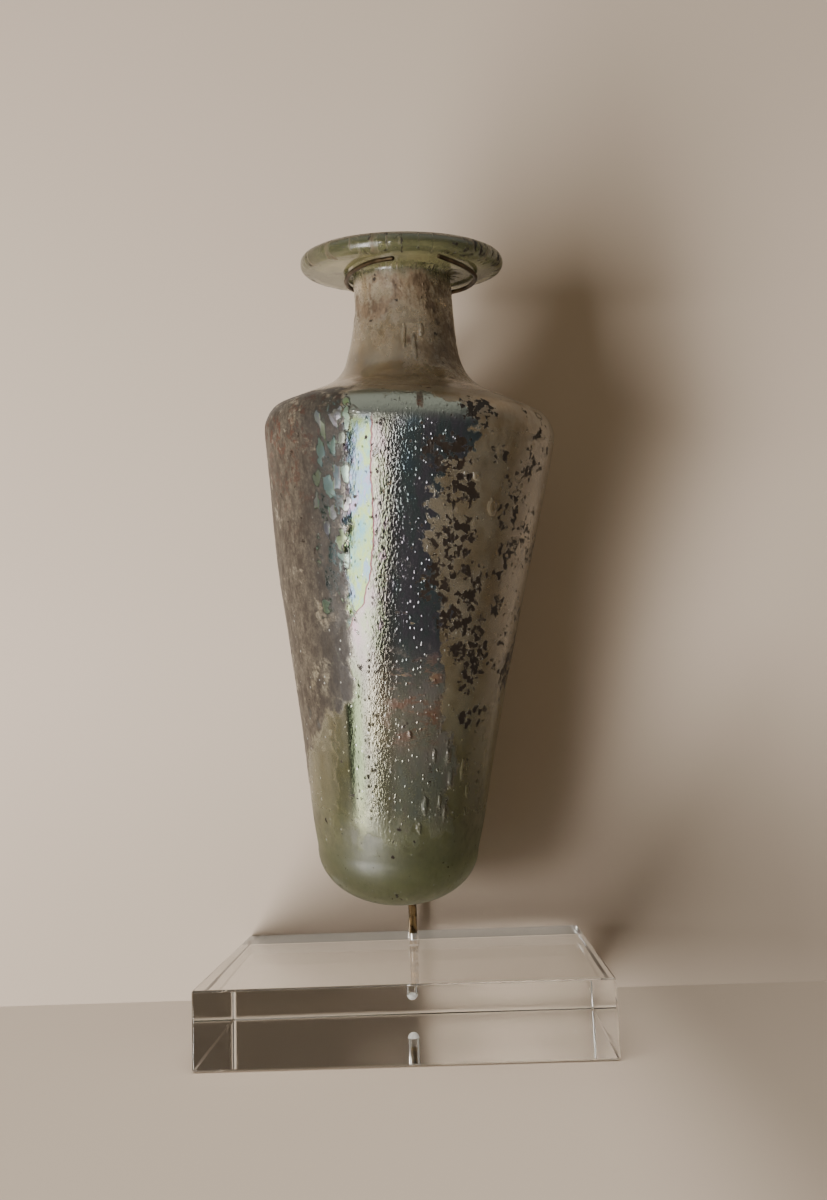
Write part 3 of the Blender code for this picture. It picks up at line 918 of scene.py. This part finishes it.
# %% Film and flakes
def film_colours(tree, skin):
    """The film's tint, cool left of the crack, warm right of it and steely beyond, and the flakes'."""
    drift = grain(tree, squeezed(tree, skin.place, 0.45), 0.0065, 4.0, 0.65)
    low_down = fade(tree, skin.height, 0.080, 0.062)
    low = blend(tree, fade(tree, skin.turn, -0.34, -0.26), (0.050, 0.062, 0.032),
                (0.020, 0.024, 0.022))
    warm = blend(tree, low_down, ramp(tree, drift, WARM_TINTS), low)
    cool = blend(tree, low_down, ramp(tree, drift, COOL_TINTS), (0.095, 0.110, 0.080))
    tint = blend(tree, fade(tree, skin.crack, -0.06, 0.06), cool, warm)
    tint = blend(tree, fade(tree, skin.turn, -0.10, 0.06), tint, ramp(tree, drift, STEEL_TINTS))
    seam = fade(tree, sum_of(tree, "ABSOLUTE", skin.crack), 0.085, 0.03)
    tint = blend(tree, seam, tint, (0.050, 0.022, 0.022))
    tint = blend(tree, fade(tree, skin.height, 0.1315, 0.1350), tint, (0.230, 0.235, 0.200))
    flakes = blend(tree, 0.45, ramp(tree, attribute(tree, "shade"), FLAKE_TINTS), cool)
    return tint, flakes

# %% Soil
def soil_colour(tree, skin):
    """Rusty grey soil on the body, browner on the neck, with painted shade in a strip beside the film.
    """
    light = fade(tree, skin.mottle, 0.38, 0.62)
    rust = blend(tree, light, (0.042, 0.030, 0.020), (0.142, 0.117, 0.084))
    red = times(tree, fade(tree, grain(tree, skin.place, 0.0026, 4.0, 0.7), 0.53, 0.60),
                fade(tree, skin.height, 0.095, 0.130))
    rust = blend(tree, red, rust, (0.090, 0.034, 0.018))
    dust = fade(tree, grain(tree, skin.place, 0.0009, 3.0, 0.7), 0.60, 0.40)
    rust = blend(tree, times(tree, dust, 0.5), rust, (0.026, 0.016, 0.010))
    loam = blend(tree, light, (0.075, 0.045, 0.024), (0.215, 0.152, 0.095))
    rust = blend(tree, fade(tree, skin.height, 0.140, 0.150), rust, loam)
    # Painted shade: an upright strip beside the film is darkened, standing in for the unlit room
    # mirrored there
    painted_shade_strip = times(tree, fade(tree, skin.turn, -0.95, -0.50), fade(tree, skin.turn, -0.2, -0.36),
                   fade(tree, skin.height, 0.145, 0.137, 0.0, 0.68))
    rust = blend(tree, painted_shade_strip, rust, (0.020, 0.015, 0.011))
    return blend(tree, fade(tree, skin.soil, 0.1, 0.9), (0.17, 0.135, 0.10), rust)

# %% All the layers, from the glass up
def layered_colour(tree, skin):
    """Glass, film, soil and flakes, then the thin dark outlines, the stain, seeds and pits."""
    tint, flakes = film_colours(tree, skin)
    colour = blend(tree, skin.film, glass_colour(tree, skin), tint)
    colour = blend(tree, skin.soil, colour, soil_colour(tree, skin))
    colour = blend(tree, skin.flake, colour, flakes)
    raised = sum_of(tree, "MULTIPLY_ADD", skin.fine, 0.10, attribute(tree, "flake"))
    rims = times(tree, band_of(tree, raised, -0.16, -0.04, 0.14, 0.04), 0.8)
    colour = blend(tree, rims, colour, (0.022, 0.020, 0.014))
    colour = blend(tree, skin.outline, colour, (0.045, 0.040, 0.028))
    colour = blend(tree, skin.ember, colour, (0.120, 0.048, 0.023))
    colour = blend(tree, skin.seeds, colour, (0.50, 0.50, 0.45))
    stain = blend(tree, skin.mottle, (0.004, 0.002, 0.001), (0.030, 0.016, 0.006))
    return blend(tree, skin.pits, colour, stain)

# %% [markdown]
# ## Clear, metal or rough
#
# A Principled shader is told how clear, how metallic and how rough each point is, and the same
# layers answer. Loose things - soil, pits, rust, seeds and outlines - are neither clear nor metal.
# The film is metal, and what is left is glass, a little veiled by its haze. At last a fine bump
# gives the film its glitter, strongest on the bright band and to the right of it.

# %% How clear, how metallic and how rough
def set_gloss(tree, skin, shader):
    """Link the clearness, the metal and the roughness, and keep what lies loose on the skin."""
    skin.loose = most(tree, times(tree, skin.soil, skin.unflaked, 0.86), skin.pits,
                      times(tree, skin.ember, 0.8), times(tree, skin.seeds, 0.6), skin.outline)
    metal = most(tree, skin.film, skin.flake)
    cover = most(tree, times(tree, metal, 0.96), skin.loose)
    veil = sum_of(tree, "MULTIPLY_ADD", skin.haze, -0.50, 0.97)
    clear = times(tree, sum_of(tree, "SUBTRACT", 1.0, cover), veil)
    bare = sum_of(tree, "SUBTRACT", 1.0, skin.loose)
    metal = times(tree, metal, times(tree, bare, 0.82))
    base = fade(tree, skin.height, 0.036, 0.018, 0.0, 0.32)
    turned_in = band_of(tree, skin.height, 0.128, 0.1335, 0.145, 0.141)
    rough = sum_of(tree, "MULTIPLY_ADD", metal, -0.02, 0.10)
    rough = sum_of(tree, "MULTIPLY_ADD", skin.haze, 0.15, rough)
    rough = sum_of(tree, "MULTIPLY_ADD", skin.loose, 0.45, rough)
    rough = sum_of(tree, "ADD", rough, base)
    rough = sum_of(tree, "MULTIPLY_ADD", turned_in, 0.20, rough)
    rough = sum_of(tree, "MULTIPLY_ADD", skin.flake, 0.16, rough)
    tree.links.new(clear, shader.inputs["Transmission Weight"])
    tree.links.new(metal, shader.inputs["Metallic"])
    tree.links.new(rough, shader.inputs["Roughness"])

# %% Glitter, swellings and slow waves
def set_glitter(tree, skin, shader):
    """Link a fine bump: pimples and grain in the film, bubbles, and waves in the blown wall."""
    lower = times(tree, fade(tree, skin.height, 0.082, 0.060), fade(tree, skin.turn, -0.36, -0.26))
    glitter = most(tree, fade(tree, skin.turn, -0.24, -0.06), lower)
    glitter = sum_of(tree, "MULTIPLY_ADD", glitter, 0.80, 0.20)
    pimples = most(tree, dots(tree, skin.place, 0.0009, 0.42, 0.35, 1.8),
                   dots(tree, skin.place, 0.0014, 0.24, 0.22, 1.8))
    crisp = grain(tree, squeezed(tree, skin.place, 0.5), 0.00065, 2.0, 0.6)
    sparkle = sum_of(tree, "MULTIPLY_ADD", crisp, 1.4, times(tree, pimples, 1.7))
    sparkle = times(tree, sparkle, glitter, most(tree, skin.whole_film, skin.loose))
    swollen = sum_of(tree, "MULTIPLY_ADD", skin.bubble, 3.0, sparkle)
    wave = grain(tree, squeezed(tree, skin.place, 0.35), 0.004, 2.0)
    ripple = sum_of(tree, "MULTIPLY_ADD", wave, 0.5, swollen)
    bump = node(tree, "Bump", {"Height": ripple, "Strength": 1.0, "Distance": 0.00010})
    tree.links.new(bump.outputs[0], shader.inputs["Normal"])

# %% Put the finish together, and hand the flask over
def weathered_glass():
    """Pale green glass under film, soil, haze and pits."""
    finish, tree, shader = new_finish("weathered_glass")
    skin = skin_place(tree)
    read_changes(tree, skin)
    read_pits(tree, skin)
    read_small_things(tree, skin)
    tree.links.new(layered_colour(tree, skin), shader.inputs["Base Color"])
    set_gloss(tree, skin, shader)
    set_glitter(tree, skin, shader)
    shader.inputs["IOR"].default_value = 1.5
    print("weathered glass:", len(tree.nodes), "nodes")
    return finish


flask_piece = finished_mesh("flask_glass", flask, weathered_glass())
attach(flask_piece, "root")
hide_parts("flask")

# %% [markdown]
# ## The block
#
# The foot is a piece of clear acrylic sheet, sawn, polished and drilled. It is made here as it is
# in the workshop: a box between the corners of its solid, its edges broken with a small `bevel`,
# and a hole cut with a round-ended bit by a Boolean. A drawn hole, in colour alone, would not do,
# because clear plastic shows its inside: the bit's torn white tip is what is seen through the
# front. The six polished sides stay flat and only the hole is shaded smooth, or the reflections
# in the sides would bend.

# %% Saw, bevel and drill the block
BLOCK_EDGE = 0.5 * MM
WELD = 0.001 * MM               # points nearer than this are one point
HOLE_PLACE, HOLE_RADIUS, HOLE_BOTTOM = (0.25 * MM, 34.3 * MM), 1.57 * MM, 4.3 * MM
FROSTED_UP_TO = HOLE_BOTTOM + 2.5 * HOLE_RADIUS     # only the tip of the hole is torn and white


def drill_bit(top):
    """The shape of the hole: a round-ended bit, turned from half its outline."""
    line = arc((0.0, HOLE_BOTTOM + HOLE_RADIUS), HOLE_RADIUS, -90, 0, 8)
    line += [Vector((HOLE_RADIUS, top)), Vector((0.0, top))]
    bit = spun(line, 48, WELD)
    bmesh.ops.translate(bit, verts=bit.verts, vec=(*HOLE_PLACE, 0.0))
    return bit


def sawn_block(low, high):
    """A bevelled box between two corners."""
    bm = bmesh.new()
    size, middle = high - low, (low + high) / 2
    bmesh.ops.create_cube(bm, size=1.0,
                          matrix=Matrix.Translation(middle) @ Matrix.Diagonal((*size, 1.0)))
    bmesh.ops.bevel(bm, geom=bm.edges[:], offset=BLOCK_EDGE, affect="EDGES", segments=3, profile=0.5,
                    material=-1)
    bmesh.ops.recalc_face_normals(bm, faces=bm.faces)
    return bm


block_low, block_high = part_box("acrylic_block")
block = finished_mesh("clear_block", sawn_block(block_low, block_high))
bit = finished_mesh("drill_bit", drill_bit(block_high.z + 5 * MM))
drilling = block.modifiers.new("drilling", "BOOLEAN")
drilling.operation = "DIFFERENCE"
drilling.object = bit
drilling.solver = "EXACT"
drilled = bpy.data.meshes.new_from_object(block.evaluated_get(bpy.context.evaluated_depsgraph_get()))
block.modifiers.clear()
block.data = drilled
bpy.data.objects.remove(bit)
print("drilled block:", len(drilled.polygons), "faces")

# %% Polished outside, frosted hole
def clear_acrylic():
    """Polished acrylic: water clear, with the faintest waviness."""
    finish, tree, shader = new_finish("clear_acrylic")
    shader.inputs["Base Color"].default_value = (0.87, 0.865, 0.835, 1.0)
    shader.inputs["Roughness"].default_value = 0.01
    shader.inputs["IOR"].default_value = 1.49
    shader.inputs["Transmission Weight"].default_value = 1.0
    place = node(tree, "TexCoord").outputs["Object"]
    scuff = grain(tree, place, 0.012, 2.0)
    bump = node(tree, "Bump", {"Height": scuff, "Strength": 0.1, "Distance": 0.00005})
    tree.links.new(bump.outputs[0], shader.inputs["Normal"])
    return finish


def frosted_hole_painted_glow():
    """The white, torn face that a drill leaves in acrylic, with a painted glow of its own."""
    finish, tree, shader = new_finish("frosted_hole_painted_glow")
    place = node(tree, "TexCoord").outputs["Object"]
    rings = grain(tree, stretched(tree, place, (0.2, 0.2, 1.0)), 0.0006, 2.0)
    shade = blend(tree, rings, (0.80, 0.79, 0.76), (0.95, 0.94, 0.91))
    tree.links.new(shade, shader.inputs["Base Color"])
    shader.inputs["Roughness"].default_value = 0.5
    # Painted glow: the frosted tip gives off a little light of its own, though it is no lamp
    tree.links.new(shade, shader.inputs["Emission Color"])
    shader.inputs["Emission Strength"].default_value = 0.18
    return finish


drilled.materials.clear()
drilled.materials.append(clear_acrylic())
drilled.materials.append(frosted_hole_painted_glow())
drilled.set_sharp_from_angle(angle=math.radians(50))
for face in drilled.polygons:
    in_hole = math.dist(face.center[:2], HOLE_PLACE) < 1.02 * HOLE_RADIUS
    face.material_index = int(in_hole and face.center.z < FROSTED_UP_TO)
    face.use_smooth = face.area < 100 * MM * MM     # the six sides stay flat
print("frosted faces:", sum(face.material_index for face in drilled.polygons))
block.cycles.is_caustics_caster = True
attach(block, "root")
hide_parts("acrylic_block")

# %% [markdown]
# ## The rod and the claw
#
# A mount maker bends the rod and the claw from brass, solders them and darkens them, so that they
# draw no attention. Their solids are already round and bent as they should be, so each piece is a
# copy of its solid, with the loose triangles joined and the round faces shaded smooth. The rod
# keeps some of its yellow. The claw is darker and duller, because it was toned with acid and has
# a thin coat of wax.

# %% Smooth copies of the rod and the claw
def smooth_copy(name, solid, finish):
    """A copy of a solid's mesh with its loose triangles joined, so that it can shade smoothly."""
    bm = bmesh.new()
    bm.from_mesh(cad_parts[solid].data)
    bmesh.ops.remove_doubles(bm, verts=bm.verts, dist=WELD)
    bmesh.ops.recalc_face_normals(bm, faces=bm.faces)
    made = finished_mesh(name, bm, finish)
    made.data.set_sharp_from_angle(angle=math.radians(50))
    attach(made, "root")
    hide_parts(solid)
    print(name, len(made.data.polygons), "faces")
    return made


def toned_brass(name, dark, light, rough):
    """Old brass, darkened in patches and unevenly worn."""
    finish, tree, shader = new_finish(name)
    place = node(tree, "TexCoord").outputs["Object"]
    patches = fade(tree, grain(tree, place, 0.003, 4.0), 0.35, 0.65)
    tree.links.new(blend(tree, patches, dark, light), shader.inputs["Base Color"])
    shader.inputs["Metallic"].default_value = 1.0
    worn = fade(tree, grain(tree, place, 0.0015, 3.0), 0.3, 0.7, rough, rough + 0.15)
    tree.links.new(worn, shader.inputs["Roughness"])
    return finish


rod_finish = toned_brass("rod_brass", (0.16, 0.105, 0.055), (0.40, 0.27, 0.13), 0.25)
claw_finish = toned_brass("claw_brass", (0.045, 0.030, 0.016), (0.11, 0.078, 0.042), 0.42)
smooth_copy("brass_rod", "support_rod", rod_finish)
smooth_copy("wire_claw", "neck_claw", claw_finish)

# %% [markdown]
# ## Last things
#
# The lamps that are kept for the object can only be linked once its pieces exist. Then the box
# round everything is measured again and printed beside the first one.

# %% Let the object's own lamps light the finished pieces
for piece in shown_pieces():
    for lit in on_object:
        lit.objects.link(piece)

# %% Sizes, and done
dressed_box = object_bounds()
for corner_a, corner_b in zip(solid_box, dressed_box):
    print([round(c * 1000, 2) for c in corner_a], [round(c * 1000, 2) for c in corner_b])
